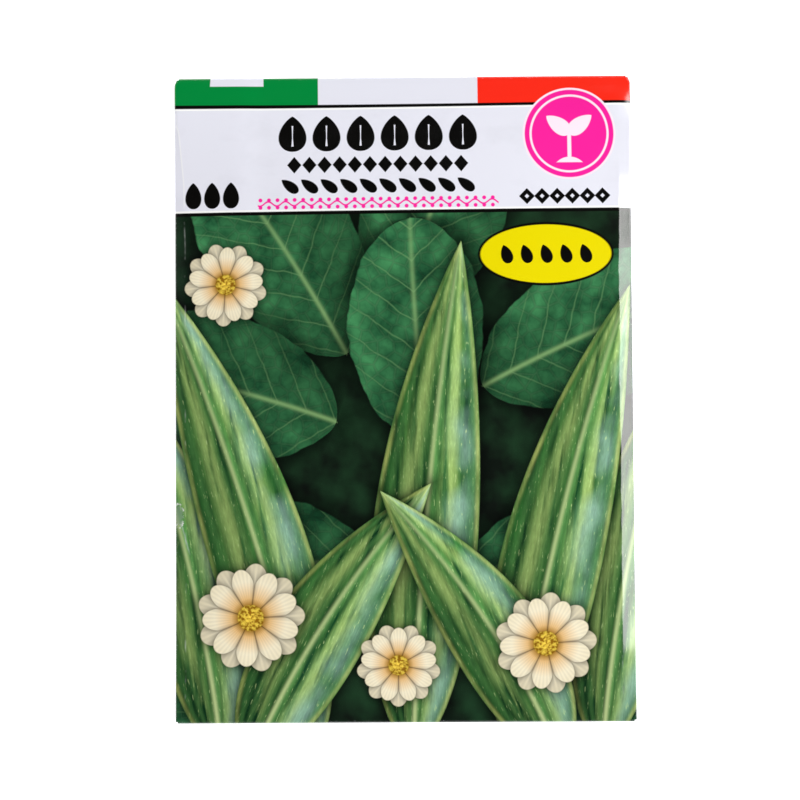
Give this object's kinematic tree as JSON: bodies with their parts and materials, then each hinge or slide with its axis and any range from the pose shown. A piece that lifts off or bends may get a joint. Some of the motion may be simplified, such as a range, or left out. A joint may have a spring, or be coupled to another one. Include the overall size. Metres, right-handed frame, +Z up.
{
  "type": "seed packet",
  "caption": "Flat paper seed packet, folded and glued from a printed sheet, sealed, and plumped by the loose flat squash seeds inside.",
  "frame": {"origin": "centre of the packet's outline, on the surface that its back lies on", "axes": "+Z up out of the printed front, +Y towards the top end with the broad colour bands, +X to the right as the front is read"},
  "size_m": [0.0812, 0.1142, 0.0048],
  "materials": {
    "printed_paper": "coated and printed, semi-gloss",
    "dried_glue": "thin dried glue, slightly glossy",
    "seed_coat": "smooth dry papery skin"
  },
  "bodies": {
    "root": {"envelope": "printed_paper", "side_seam_glue": "dried_glue", "top_flap_glue": "dried_glue", "bottom_flap_glue": "dried_glue", "seed_01": "seed_coat", "seed_02": "seed_coat", "seed_03": "seed_coat", "seed_04": "seed_coat", "seed_05": "seed_coat", "seed_06": "seed_coat", "seed_07": "seed_coat", "seed_08": "seed_coat", "seed_09": "seed_coat", "seed_10": "seed_coat", "seed_11": "seed_coat", "seed_12": "seed_coat", "seed_13": "seed_coat", "seed_14": "seed_coat", "seed_15": "seed_coat", "seed_16": "seed_coat", "seed_17": "seed_coat", "seed_18": "seed_coat"}
  },
  "joints": []
}
